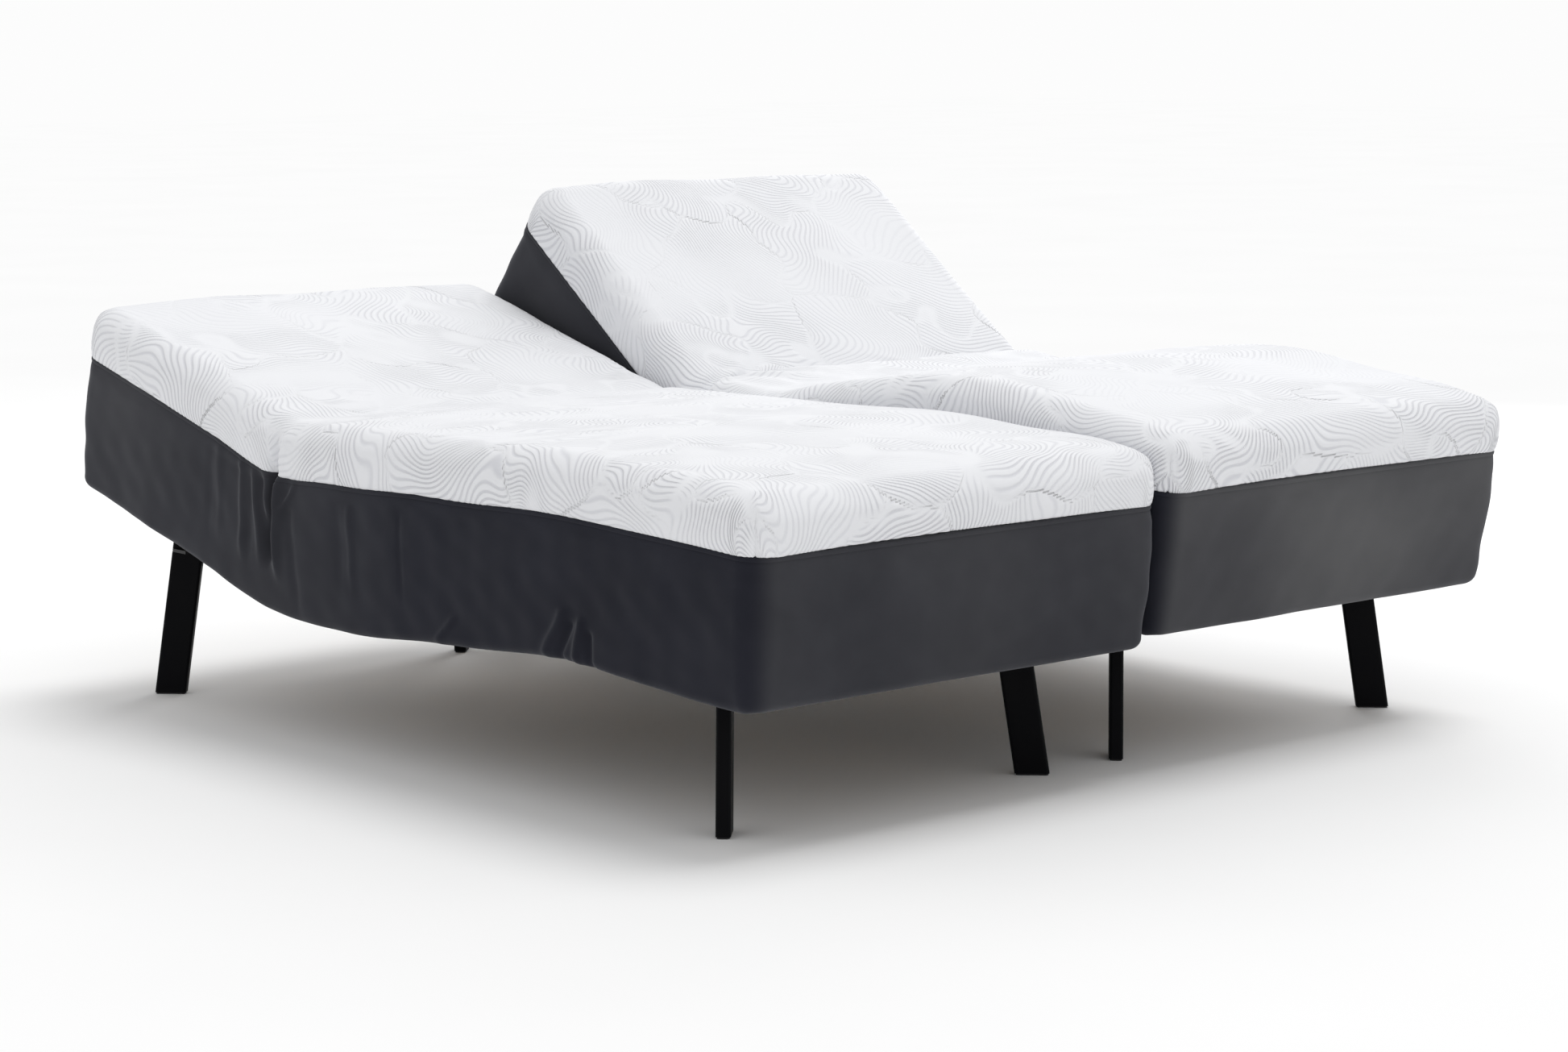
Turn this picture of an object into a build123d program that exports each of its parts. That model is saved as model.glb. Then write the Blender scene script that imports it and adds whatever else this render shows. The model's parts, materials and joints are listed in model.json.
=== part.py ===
from build123d import *
import os
from math import atan2, cos, degrees, radians, sin

# Twin adjustable bed: two upholstered beds stand side by side. Each has its own steel base on four
# legs, a back section, a seat, a thigh section and a foot section, and two electric actuators.
# Millimetres. Each bed is drawn flat first: X across, Y from the foot end (0) to the head end, Z up.
# Then its sections are turned to the angles at which it stands.

# ---- driving dimensions ----
BED_W = 900.0
BED_L = 2015.0
BED_GAP = 6.2
TOP_Z = 590.0  # top of the cushions
SEAM_Z = 490.0  # where the white cover meets the border
HEM_Z = 230.0  # lower edge of the border
DECK_Z = 360.0  # underside of the deck boards
DECK_T = 10.0
PLAN_R = 50.0  # plan corners of the cushion
EDGE_R = 35.0  # rounding along the cushion's top edge
OVERHANG = 9.0  # the cushion stands out this much past the border
BORDER_T = 20.0
SECTION_GAP = 1.0

HINGE_Z = 345.0
BACK_Y = 1310.0
THIGH_Y = 1095.0
KNEE_Y = 515.0
BACK_TRIM = 42.0  # the back cushion's front face leans this far, so the back can rise
SEAT_TRIM = 20.0
THIGH_TRIM = 16.0
KNEE_TRIM = 30.0

FOOT_PER_THIGH = 0.93  # the foot section tips down this much for each degree the thigh rises
BACK_MAX, THIGH_MAX = 60.0, 30.0
STANDS = {"left": (14.3, 2.0), "right": (37.5, 7.4)}  # back and thigh angles of each bed

RAIL_X, RAIL_W, RAIL_H = 250.0, 30.0, 40.0
RAIL_TOP = 285.0
RAIL_Y0, RAIL_Y1 = 190.0, 1837.0
TUBE_WALL = 2.0
OUTER_X, INNER_X = 285.0, 251.0  # section side rails: back and thigh outside, foot inside
SECTION_W, SECTION_H = 30.0, 25.0

LEG_X, LEG_FOOT_Y, LEG_HEAD_Y = 349.0, 195.0, 1854.0
LEG_W, LEG_T, LEG_LEAN = 60.0, 25.0, 8.5
LEG_TOP, GLIDE_T, PLATE_T = 279.0, 3.0, 6.0
POST_TOP, POST_X = 352.0, 302.0  # the posts above the legs stop under the boards, beside the section rails

LEVER_R, ROLLER_R, PAD_GAP = 85.0, 12.0, 1.1
ACTUATOR_X, ACTUATOR_Z = 110.0, 266.0
ROD_R, ROD_L, PAD_L = 9.0, 330.0, 15.0
RUNNING = 0.08  # radial running clearance

ARM_Y, ARM_Z = 470.0, 265.0  # pivot of the arms that carry the foot section
ARM_L, ARM_ANGLE, ARM_PER_THIGH = 246.1, 167.74, 1.4135
ARM_ROLLER_R = 12.5

CUSHION_Z = DECK_Z + DECK_T
BORDER_X = BED_W / 2 - OVERHANG
CORE_INSET = OVERHANG + BORDER_T + 7.0  # the foam core and the boards stay clear of the border
CORE_X = BED_W / 2 - CORE_INSET
CORE_R = 20.0


# ---- plain shapes ----
def block(x0, x1, y0, y1, z0, z1):
    centre = Pos((x0 + x1) / 2, (y0 + y1) / 2, (z0 + z1) / 2)
    return centre * Box(x1 - x0, y1 - y0, z1 - z0)


def bar_x(y, z, radius, x0, x1):
    return Pos((x0 + x1) / 2, y, z) * Rot(0, 90, 0) * Cylinder(radius, x1 - x0)


def bar_y(x, z, radius, y0, y1):
    return Pos(x, (y0 + y1) / 2, z) * Rot(90, 0, 0) * Cylinder(radius, y1 - y0)


def bar_z(x, y, radius, z0, z1):
    return Pos(x, y, (z0 + z1) / 2) * Cylinder(radius, z1 - z0)


def tube_y(x, y0, y1, z0, z1, width):
    outer = block(x - width / 2, x + width / 2, y0, y1, z0, z1)
    half = width / 2 - TUBE_WALL
    return outer - block(x - half, x + half, y0 - 1, y1 + 1, z0 + TUBE_WALL, z1 - TUBE_WALL)


def tube_x(y, x0, x1, z0, z1, width):
    outer = block(x0, x1, y - width / 2, y + width / 2, z0, z1)
    half = width / 2 - TUBE_WALL
    return outer - block(x0 - 1, x1 + 1, y - half, y + half, z0 + TUBE_WALL, z1 - TUBE_WALL)


def side_prism(points):
    """A prism right across the bed with this outline in the Y-Z plane."""
    outline = Plane.YZ * make_face(Polyline(*points, close=True))
    return Pos(-600, 0, 0) * extrude(outline, amount=1200, dir=(1, 0, 0))


def leaning_cut(y, lean_angle, side):
    """Everything beyond a face that rises from the hinge at y and leans over by lean_angle.
    side is -1 to cut on the foot side and +1 on the head side. A lean is towards the head."""
    foot = y - side * SECTION_GAP
    reach = 400.0
    lean = reach * sin(radians(lean_angle)) / cos(radians(lean_angle))
    points = [
        (foot, HINGE_Z - 200),
        (foot, HINGE_Z),
        (foot + lean, HINGE_Z + reach),
        (y + side * 2500, HINGE_Z + reach),
        (y + side * 2500, HINGE_Z - 200),
    ]
    return side_prism(points)


def hem_notch(side):
    """Room below the knee hinge, so that the border can fold there."""
    lean = 200 * sin(radians(KNEE_TRIM)) / cos(radians(KNEE_TRIM))
    edge = KNEE_Y + side * SECTION_GAP
    return side_prism([(edge, HINGE_Z), (edge + side * lean, HINGE_Z - 200), (edge, HINGE_Z - 200)])


def turned(shape, y, z, angle):
    return Pos(0, y, z) * Rot(angle, 0, 0) * Pos(0, -y, -z) * shape


# ---- base: rails, legs and hinge plates ----
def frame_rails():
    low = RAIL_TOP - RAIL_H
    rails = [tube_y(s * RAIL_X, RAIL_Y0, RAIL_Y1, low, RAIL_TOP, RAIL_W) for s in (-1, 1)]
    pivots = bar_x(ARM_Y, ARM_Z, 8 + RUNNING, -300, 300)
    inside = RAIL_X - RAIL_W / 2
    cross = [tube_x(y, -inside, inside, low + 5, RAIL_TOP - 5, 30) for y in (205, 690, 1700, 1815)]
    return [rail - pivots for rail in rails] + cross


def leg_corners():
    for y, head in ((LEG_FOOT_Y, -1), (LEG_HEAD_Y, 1)):
        for side in (-1, 1):
            yield side * LEG_X, y, side, head


def leg_frame(x, y, side, head):
    """Frame at the foot of a leg: its X points out to the corner, and its top leans back in."""
    turn = degrees(atan2(head, side))
    return Pos(x, y, 0) * Rot(0, 0, turn) * Rot(0, -LEG_LEAN, 0)


def leg_top(x, y, side, head):
    inward = LEG_TOP * sin(radians(LEG_LEAN)) / cos(radians(LEG_LEAN)) * sin(radians(45))
    return x - side * inward, y - head * inward


def bolt_places(x, y, side, head):
    top_x, top_y = leg_top(x, y, side, head)
    for step in (-14, 14):
        along = step * sin(radians(45))
        yield top_x + side * along, top_y + head * along


def legs():
    made = []
    for corner in leg_corners():
        bar = extrude(RectangleRounded(LEG_W, LEG_T, 6), amount=400)
        bar = leg_frame(*corner) * Pos(0, 0, -50) * bar
        bar = bar & block(-600, 600, -200, BED_L + 200, GLIDE_T, LEG_TOP)
        for x, y in bolt_places(*corner):
            bar = bar - bar_z(x, y, 4.2, LEG_TOP - 34, LEG_TOP + 1)
        made.append(bar)
    return made


def leg_posts():
    """Above its bracket each leg at the head end goes on as a short post beside the section rail."""
    made = []
    for corner in leg_corners():
        side, head = corner[2:]
        if head < 0:
            continue
        x0, x1 = sorted((side * POST_X, side * 420))
        bar = extrude(RectangleRounded(LEG_W, LEG_T, 6), amount=470)
        bar = leg_frame(*corner) * Pos(0, 0, -50) * bar
        bar = bar & block(x0, x1, -200, BED_L + 200, LEG_TOP + PLATE_T, POST_TOP)
        for x, y in bolt_places(*corner):
            bar = bar - bar_z(x, y, 8.2, LEG_TOP + PLATE_T - 1, LEG_TOP + PLATE_T + 7)
        made.append(bar)
    return made


def leg_glides():
    made = []
    for corner in leg_corners():
        pad = extrude(RectangleRounded(LEG_W - 4, LEG_T - 4, 5), amount=60)
        pad = leg_frame(*corner) * Pos(0, 0, -30) * pad
        made.append(pad & block(-600, 600, -200, BED_L + 200, 0, GLIDE_T))
    return made


def leg_plates():
    """A flat bracket runs out from each rail over the leg, with a web under its middle."""
    made = []
    inner = RAIL_X + RAIL_W / 2
    for corner in leg_corners():
        side, head = corner[2:]
        top_x, top_y = leg_top(*corner)
        far = top_y + head * 12
        near = top_y - head * 34
        y0, y1 = min(far, near), max(far, near)
        x0, x1 = sorted((side * inner, side * 348))
        plate = block(x0, x1, y0, y1, LEG_TOP, LEG_TOP + PLATE_T)
        x0, x1 = sorted((side * inner, side * 285))
        plate = plate + block(x0, x1, near - 3, near + 3, 250, LEG_TOP + PLATE_T)
        for x, y in bolt_places(*corner):
            plate = plate - bar_z(x, y, 4.4, 200, 300)
        made.append(plate)
    return made


def leg_bolts():
    made = []
    for corner in leg_corners():
        for x, y in bolt_places(*corner):
            top = LEG_TOP + PLATE_T
            head = extrude(Pos(x, y, top) * RegularPolygon(6.5, 6, major_radius=False), amount=5)
            made.append(bar_z(x, y, 4, top - 36, top) + head)
    return made


def hinge_plates():
    """Two upright plates on the rails carry the back hinge, the thigh hinge and the seat board."""
    made = []
    for side in (-1, 1):
        x0, x1 = sorted((side * 244, side * 256))
        plate = block(x0, x1, 1115, 1280, RAIL_TOP, DECK_Z)
        for y in (THIGH_Y, BACK_Y):
            ends = sorted((y, 1200))
            plate = plate + block(x0, x1, ends[0], ends[1], RAIL_TOP, HINGE_Z)
            plate = plate + bar_x(y, HINGE_Z, 14, x0, x1)
            plate = plate + block(x0, x1, y - 14, y + 14, RAIL_TOP, HINGE_Z)
        for y in (THIGH_Y, BACK_Y):
            plate = plate - bar_x(y, HINGE_Z, 8 + RUNNING, x0 - 1, x1 + 1)
        made.append(plate)
    return made


# ---- upholstery ----
def whole_cushion():
    slab = extrude(RectangleRounded(BED_W, BED_L, PLAN_R), amount=TOP_Z - SEAM_Z)
    slab = fillet(slab.faces().sort_by(Axis.Z)[-1].edges(), EDGE_R)
    slab = Pos(0, BED_L / 2, SEAM_Z) * slab
    core = extrude(RectangleRounded(2 * CORE_X, BED_L - 2 * CORE_INSET, CORE_R), amount=SEAM_Z - CUSHION_Z)
    return slab + Pos(0, BED_L / 2, CUSHION_Z) * core


def whole_border():
    outer = RectangleRounded(2 * BORDER_X, BED_L - 2 * OVERHANG, PLAN_R)
    inner_w = 2 * (BORDER_X - BORDER_T)
    inner = RectangleRounded(inner_w, BED_L - 2 * (OVERHANG + BORDER_T), PLAN_R - BORDER_T)
    ring = extrude(outer - inner, amount=SEAM_Z - 0.5 - HEM_Z)
    return Pos(0, BED_L / 2, HEM_Z) * ring


def slices(shape, cuts):
    for cut in cuts:
        shape = shape - cut
    return shape


FACES = {
    "back": [leaning_cut(BACK_Y + 2 * SECTION_GAP, BACK_TRIM, -1)],
    "seat": [leaning_cut(BACK_Y, -SEAT_TRIM, 1), leaning_cut(THIGH_Y, THIGH_TRIM, -1)],
    "thigh": [
        leaning_cut(THIGH_Y - 2 * SECTION_GAP, -THIGH_TRIM, 1),
        leaning_cut(KNEE_Y + SECTION_GAP, 0, -1),
        hem_notch(1),
    ],
    "foot": [leaning_cut(KNEE_Y - SECTION_GAP, 0, 1), hem_notch(-1)],
}


def cushion(section):
    solid = slices(whole_cushion(), FACES[section])
    if section == "seat":
        solid = solid - block(-500, 500, 900, 1500, CUSHION_Z - 1, CUSHION_Z + 1)
    return [solid]


def border(section):
    """The border's side strips and, on the end sections, the strip that joins them."""
    ring = slices(whole_border(), FACES[section])
    corner = OVERHANG + PLAN_R
    pieces = []
    for y0, y1 in ((0, corner), (corner, BED_L - corner), (BED_L - corner, BED_L)):
        part = ring & block(-500, 500, y0, y1, 0, 700)
        if part is not None:
            pieces += list(part.solids())
    return pieces


def deck(section):
    ends = {"foot": (0, 513), "thigh": (517, 1093), "seat": (1108, 1300), "back": (1333, BED_L)}
    y0, y1 = ends[section]
    board = extrude(RectangleRounded(2 * CORE_X, BED_L - 2 * CORE_INSET, CORE_R), amount=DECK_T)
    board = Pos(0, BED_L / 2, DECK_Z) * board
    return [board & block(-500, 500, y0, y1, DECK_Z - 5, CUSHION_Z + 5)]


# ---- moving section frames ----
def section_rail(x, y_hinges, y0, y1, bores):
    """A square side rail with a rounded end about each hinge."""
    low, high = HINGE_Z - SECTION_H / 2, HINGE_Z + SECTION_H / 2
    rail = tube_y(x, y0, y1, low, high, SECTION_W)
    half = SECTION_W / 2
    for y in y_hinges:
        rail = rail + bar_x(y, HINGE_Z, SECTION_H / 2, x - half, x + half)
    for y, radius in bores:
        rail = rail - bar_x(y, HINGE_Z, radius, x - half - 1, x + half + 1)
    return rail


def cross_bar(y, inside):
    low, high = HINGE_Z - SECTION_H / 2, HINGE_Z + SECTION_H / 2
    return tube_x(y, -inside, inside, low, high, 25)


def deck_rests(inside, y):
    """Pads between the frame and the deck board."""
    top = HINGE_Z + SECTION_H / 2
    return [block(s * inside - 12, s * inside + 12, y - 30, y + 30, top, DECK_Z) for s in (-1, 1)]


def back_frame():
    rails = [section_rail(s * OUTER_X, [BACK_Y], BACK_Y, 1980, [(BACK_Y, 8)]) for s in (-1, 1)]
    inside = OUTER_X - SECTION_W / 2
    rests = deck_rests(OUTER_X, 1420) + deck_rests(OUTER_X, 1900)
    return rails + [cross_bar(y, inside) for y in (1620, 1960)] + rests


def thigh_frame():
    bores = [(THIGH_Y, 8), (KNEE_Y, 7)]
    rails = [
        section_rail(s * OUTER_X, [THIGH_Y, KNEE_Y], KNEE_Y, THIGH_Y, bores) for s in (-1, 1)
    ]
    inside = OUTER_X - SECTION_W / 2
    cross = [cross_bar(y, inside) for y in (600, 860)]
    pins = []
    for side in (-1, 1):
        x0, x1 = sorted((side * 233, side * 304))
        pins.append(bar_x(KNEE_Y, HINGE_Z, 7, x0, x1))
    return rails + cross + pins + deck_rests(OUTER_X, 640) + deck_rests(OUTER_X, 980)


def foot_frame():
    rails = [
        section_rail(s * INNER_X, [KNEE_Y], 40, KNEE_Y, [(KNEE_Y, 7 + RUNNING)]) for s in (-1, 1)
    ]
    inside = INNER_X - SECTION_W / 2
    cross = [cross_bar(y, inside) for y in (60, 440)]
    return rails + cross + deck_rests(INNER_X, 110) + deck_rests(INNER_X, 400)


def lever_shaft(y, x, lean):
    """Torsion tube on a hinge line, with a stub at each end and a two-cheek lever that hangs down."""
    tube = bar_x(y, HINGE_Z, 13, -238, 238) - bar_x(y, HINGE_Z, 10, -200, 200)
    for side in (-1, 1):
        x0, x1 = sorted((side * 238, side * 304))
        tube = tube + bar_x(y, HINGE_Z, 8, x0, x1)
    tip_y = y + LEVER_R * sin(radians(lean))
    tip_z = HINGE_Z - LEVER_R * cos(radians(lean))
    cheeks = []
    for near, far in ((13, 19), (-19, -13)):
        cheek = bar_x(y, HINGE_Z, 20, x + near, x + far) + bar_x(tip_y, tip_z, 13, x + near, x + far)
        arm = block(x + near, x + far, y - 13, y + 13, HINGE_Z - LEVER_R, HINGE_Z)
        cheek = cheek + turned(arm, y, HINGE_Z, lean)
        cheek = cheek - bar_x(y, HINGE_Z, 13, x + near - 1, x + far + 1)
        cheek = cheek - bar_x(tip_y, tip_z, 5, x - 30, x + 30)
        cheeks.append(cheek & block(x - 60, x + 60, y - 200, y + 200, 0, DECK_Z - 1.0))
    pin = bar_x(tip_y, tip_z, 5, x - 21, x + 21)
    roller = bar_x(tip_y, tip_z, ROLLER_R, x - 12, x + 12) - bar_x(tip_y, tip_z, 5, x - 30, x + 30)
    return [tube, *cheeks, pin, roller]


# ---- actuators ----
def travel_per_degree(max_angle):
    """Rod travel that follows the lever: equal to the lever's own at both ends of the range."""
    return 2 * LEVER_R * sin(radians(max_angle / 2)) / max_angle


def push_rod(x, pad_y, towards):
    """A rod with a push pad at its end. towards is +1 when it pushes to the head end."""
    back = pad_y - towards * PAD_L
    y0, y1 = sorted((pad_y, back))
    pad = block(x - 11, x + 11, y0, y1, ACTUATOR_Z - 20, ACTUATOR_Z + 20)
    y0, y1 = sorted((back, back - towards * ROD_L))
    return [pad + bar_y(x, ACTUATOR_Z, ROD_R, y0, y1)]


def gearbox(x, y_anchor, towards):
    """Gear housing with its rear lug and the tube that the rod slides in."""
    face = y_anchor + towards * 18
    y0, y1 = sorted((face, face + towards * 70))
    case = block(x - 35, x + 35, y0, y1, ACTUATOR_Z - 28, ACTUATOR_Z + 28)
    case = fillet(case.edges().filter_by(Axis.X), 8)
    y0, y1 = sorted((y_anchor, face + towards * 2))
    lug = block(x - 10, x + 10, y0, y1, ACTUATOR_Z - 12, ACTUATOR_Z + 12)
    lug = lug + bar_x(y_anchor, ACTUATOR_Z, 12, x - 10, x + 10)
    far = face + towards * 450
    y0, y1 = sorted((face + towards * 60, far))
    sleeve = bar_y(x, ACTUATOR_Z, 17, y0, y1)
    y0, y1 = sorted((face + towards * 20, far + towards))
    solid = case + lug + sleeve - bar_y(x, ACTUATOR_Z, ROD_R + RUNNING, y0, y1)
    return solid - bar_x(y_anchor, ACTUATOR_Z, 5, x - 20, x + 20)


ANCHORS = {"back": (ACTUATOR_X, 722.0, 1), "thigh": (-ACTUATOR_X, 1668.0, -1)}


def actuator_housings():
    return [gearbox(*ANCHORS[name]) for name in ("back", "thigh")]


def actuator_motors():
    """A cylindrical motor stands out sideways from each gearbox, towards the bed's middle."""
    made = []
    for x, y, towards in ANCHORS.values():
        middle = y + towards * 53
        side = 1 if x > 0 else -1
        x0, x1 = sorted((x - side * 35, x - side * 135))
        motor = bar_x(middle, ACTUATOR_Z, 24, x0, x1)
        x0, x1 = sorted((x - side * 135, x - side * 145))
        made.append(motor + bar_x(middle, ACTUATOR_Z, 16, x0, x1))
    return made


def actuator_mounts():
    """Two ears on each anchor tube and the pin through them."""
    made = []
    for x, y, towards in ANCHORS.values():
        tube_face = 705 if towards > 0 else 1685
        y0, y1 = sorted((tube_face, y))
        for near in (-17, 11):
            ear = block(x + near, x + near + 6, y0, y1, ACTUATOR_Z - 12, ACTUATOR_Z + 12)
            ear = ear + bar_x(y, ACTUATOR_Z, 12, x + near, x + near + 6)
            made.append(ear - bar_x(y, ACTUATOR_Z, 5, x - 30, x + 30))
        made.append(bar_x(y, ACTUATOR_Z, 5, x - 20, x + 20))
    return made


def control_box():
    """Control box screwed up against the cross tube, with a mains inlet recess in one end."""
    case = block(-205, -65, 540, 675, 242, 282)
    case = fillet(case.edges().filter_by(Axis.Z), 8)
    inlet = block(-150, -120, 530, 548, 250, 272)
    return [case - inlet]


# ---- arms that carry the foot section ----
def support_arms():
    rod = bar_x(ARM_Y, ARM_Z, 8, -RAIL_X - 11, RAIL_X + 11)
    made = [rod]
    for side in (-1, 1):
        x0, x1 = sorted((side * 222, side * 230))
        arm = block(x0, x1, ARM_Y, ARM_Y + ARM_L, ARM_Z - 12, ARM_Z + 12)
        arm = arm + bar_x(ARM_Y, ARM_Z, 15, x0, x1) + bar_x(ARM_Y + ARM_L, ARM_Z, 12, x0, x1)
        arm = arm - bar_x(ARM_Y, ARM_Z, 8, x0 - 1, x1 + 1)
        x0, x1 = sorted((side * 230, side * 267))
        made.append(arm + bar_x(ARM_Y + ARM_L, ARM_Z, 5, x0, x1))
    return [turned(piece, ARM_Y, ARM_Z, ARM_ANGLE) for piece in made]


def support_rollers():
    made = []
    for side in (-1, 1):
        x0, x1 = sorted((side * 238, side * 264))
        roller = bar_x(ARM_Y + ARM_L, ARM_Z, ARM_ROLLER_R, x0, x1)
        made.append(roller - bar_x(ARM_Y + ARM_L, ARM_Z, 5, x0 - 1, x1 + 1))
    return [turned(piece, ARM_Y, ARM_Z, ARM_ANGLE) for piece in made]


# ---- one bed ----
def back_moved(pieces, back, thigh):
    return [turned(piece, BACK_Y, HINGE_Z, back) for piece in pieces]


def thigh_moved(pieces, back, thigh):
    return [turned(piece, THIGH_Y, HINGE_Z, -thigh) for piece in pieces]


def foot_moved(pieces, back, thigh):
    folded = [turned(p, KNEE_Y, HINGE_Z, (1 + FOOT_PER_THIGH) * thigh) for p in pieces]
    return thigh_moved(folded, back, thigh)


def arms_moved(pieces, back, thigh):
    return [turned(piece, ARM_Y, ARM_Z, -ARM_PER_THIGH * thigh) for piece in pieces]


def back_rod(back):
    roller = BACK_Y + travel_per_degree(BACK_MAX) * (back - BACK_MAX / 2)
    return push_rod(ACTUATOR_X, roller - ROLLER_R - PAD_GAP, 1)


def thigh_rod(thigh):
    roller = THIGH_Y - travel_per_degree(THIGH_MAX) * (thigh - THIGH_MAX / 2)
    return push_rod(-ACTUATOR_X, roller + ROLLER_R + PAD_GAP, -1)


def bed(back, thigh):
    """Every piece of one bed, in its body's place, keyed by name."""
    fixed = {
        "frame_rails": frame_rails(),
        "leg_plates": leg_plates(),
        "legs": legs() + leg_posts(),
        "leg_glides": leg_glides(),
        "leg_bolts": leg_bolts(),
        "hinge_plates": hinge_plates(),
        "seat_deck": deck("seat"),
        "seat_cushion": cushion("seat"),
        "seat_border": border("seat"),
        "actuator_housings": actuator_housings(),
        "actuator_motors": actuator_motors() + actuator_mounts(),
        "control_box": control_box(),
        "back_rod": back_rod(back),
        "thigh_rod": thigh_rod(thigh),
    }
    moving = {
        "back_frame": (back_frame(), back_moved),
        "back_lever_shaft": (lever_shaft(BACK_Y, ACTUATOR_X, -BACK_MAX / 2), back_moved),
        "back_deck": (deck("back"), back_moved),
        "back_cushion": (cushion("back"), back_moved),
        "back_border": (border("back"), back_moved),
        "thigh_frame": (thigh_frame(), thigh_moved),
        "thigh_lever_shaft": (lever_shaft(THIGH_Y, -ACTUATOR_X, THIGH_MAX / 2), thigh_moved),
        "thigh_deck": (deck("thigh"), thigh_moved),
        "thigh_cushion": (cushion("thigh"), thigh_moved),
        "thigh_border": (border("thigh"), thigh_moved),
        "foot_frame": (foot_frame(), foot_moved),
        "foot_deck": (deck("foot"), foot_moved),
        "foot_cushion": (cushion("foot"), foot_moved),
        "foot_border": (border("foot"), foot_moved),
        "support_arms": (support_arms(), arms_moved),
        "support_rollers": (support_rollers(), arms_moved),
    }
    for name, (pieces, move) in moving.items():
        fixed[name] = move(pieces, back, thigh)
    return fixed


# ---- both beds, about the middle of the whole on the floor ----
PITCH = BED_W + BED_GAP
nodes = {}
for name, x in (("left", -PITCH / 2), ("right", PITCH / 2)):
    for node, pieces in bed(*STANDS[name]).items():
        solids = [solid for piece in pieces for solid in piece.solids()]
        nodes[f"{name}_{node}"] = Pos(x, 0, 0) * Compound(children=solids)

boxes = [shape.bounding_box() for shape in nodes.values()]
MIDDLE_Y = (min(box.min.Y for box in boxes) + max(box.max.Y for box in boxes)) / 2
os.makedirs("parts", exist_ok=True)
for node, shape in nodes.items():
    export_step(Pos(0, -MIDDLE_Y, 0) * shape, f"parts/{node}.step")
print(len(nodes), "nodes, middle of the length at", round(MIDDLE_Y, 3))
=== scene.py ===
# %% [markdown]
# # Adjustable bed base: two beds side by side
# Each bed is a slab of foam on a hinged steel frame. A thick white knitted cover is pulled over the top,
# and a charcoal velour border hangs round the sides, sewn to the cover along one seam. Steel blade legs
# lean outward below. The frame, legs, boards and drives come from the CAD file and stay as they are.
# This script makes the fabrics as skins of their own and gives every part its material. The first cell
# loads the tools and the CAD frame, and keeps the box of the CAD model.

# %% Tools and frame
import json
import math
import bpy
import numpy as np
from mathutils import Matrix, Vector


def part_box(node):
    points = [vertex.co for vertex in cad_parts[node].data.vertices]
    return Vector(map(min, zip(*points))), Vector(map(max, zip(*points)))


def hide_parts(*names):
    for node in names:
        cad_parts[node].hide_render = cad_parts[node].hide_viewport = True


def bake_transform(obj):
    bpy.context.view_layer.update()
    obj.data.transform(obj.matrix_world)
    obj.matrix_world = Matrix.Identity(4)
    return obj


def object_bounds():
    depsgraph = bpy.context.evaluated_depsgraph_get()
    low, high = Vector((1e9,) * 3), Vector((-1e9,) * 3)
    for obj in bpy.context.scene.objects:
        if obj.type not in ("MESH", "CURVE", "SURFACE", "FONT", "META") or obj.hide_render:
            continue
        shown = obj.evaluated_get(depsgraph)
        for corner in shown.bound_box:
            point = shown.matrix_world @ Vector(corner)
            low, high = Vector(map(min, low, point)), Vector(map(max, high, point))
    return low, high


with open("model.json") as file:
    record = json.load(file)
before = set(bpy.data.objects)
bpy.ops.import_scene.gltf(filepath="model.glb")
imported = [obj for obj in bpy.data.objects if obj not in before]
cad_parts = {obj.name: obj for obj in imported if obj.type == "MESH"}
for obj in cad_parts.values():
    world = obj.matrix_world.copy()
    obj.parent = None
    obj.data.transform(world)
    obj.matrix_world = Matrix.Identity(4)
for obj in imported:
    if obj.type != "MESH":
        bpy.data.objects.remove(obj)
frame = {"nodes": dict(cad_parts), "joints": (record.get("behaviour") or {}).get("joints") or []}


def plain(bounds):
    return [[float(x) for x in corner] for corner in bounds]


BOX_BEFORE = plain(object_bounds())
print("CAD box", BOX_BEFORE)

# %% [markdown]
# The sizes below are real lengths in metres, measured on a bed that lies flat, with y counted from its
# foot end. Places in the room come from the frame: the sides and the top of a bed from its seat cushion,
# and the hinges and their angles from the joints. So the skins follow the CAD model wherever it stands.

# %% Real sizes
LENGTH = 2.015
TOP_Z = 0.590
SEAM_Z = 0.490
HEM_Z = 0.230
OVERHANG = 0.009  # the border's face lies this far inside the cover
TUCK = 0.004  # the cover draws in this far at the seam
PLAN_R = 0.055  # corner radius seen from above
TOP_R = 0.050  # rounding of the top edge
BACK_Y = 1.310
KNEE_Y = 0.515
FOOT_PER_THIGH = 0.93  # the foot part turns back by this share of the thigh's angle
SEAT_CUT = 1.125  # the skins are cut into pieces at these two places
THIGH_CUT = 0.810
CELL = 0.004  # grid spacing of the cloth

JOINTS = {joint["name"]: joint for joint in frame["joints"]}


def bed_facts(side):
    low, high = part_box(side + "_seat_cushion")
    back, thigh = JOINTS[side + "_back_hinge"], JOINTS[side + "_thigh_hinge"]
    hinge_y, hinge_z = back["pos_m"][1], back["pos_m"][2]
    facts = {
        "side": side,
        "middle_x": (low.x + high.x) / 2,
        "half": (high.x - low.x) / 2,
        "top_z": high.z,
        "foot_y": hinge_y - BACK_Y,
        "hinge_z": hinge_z,
        "thigh_y": thigh["pos_m"][1] - hinge_y + BACK_Y,
        "back_turn": -back["range_deg"][0],
        "thigh_turn": -thigh["range_deg"][0],
    }
    print(facts)
    return facts


BEDS = {side: bed_facts(side) for side in ("left", "right")}

# %% [markdown]
# ## Tools for materials
# Colours are written as sRGB hex, as a swatch card gives them, and one function turns them into linear
# light. Every pattern's scale comes from the size of one of its features in millimetres. One function
# adds a node of any kind, with its settings, its values and its links, which keeps each material short.


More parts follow.
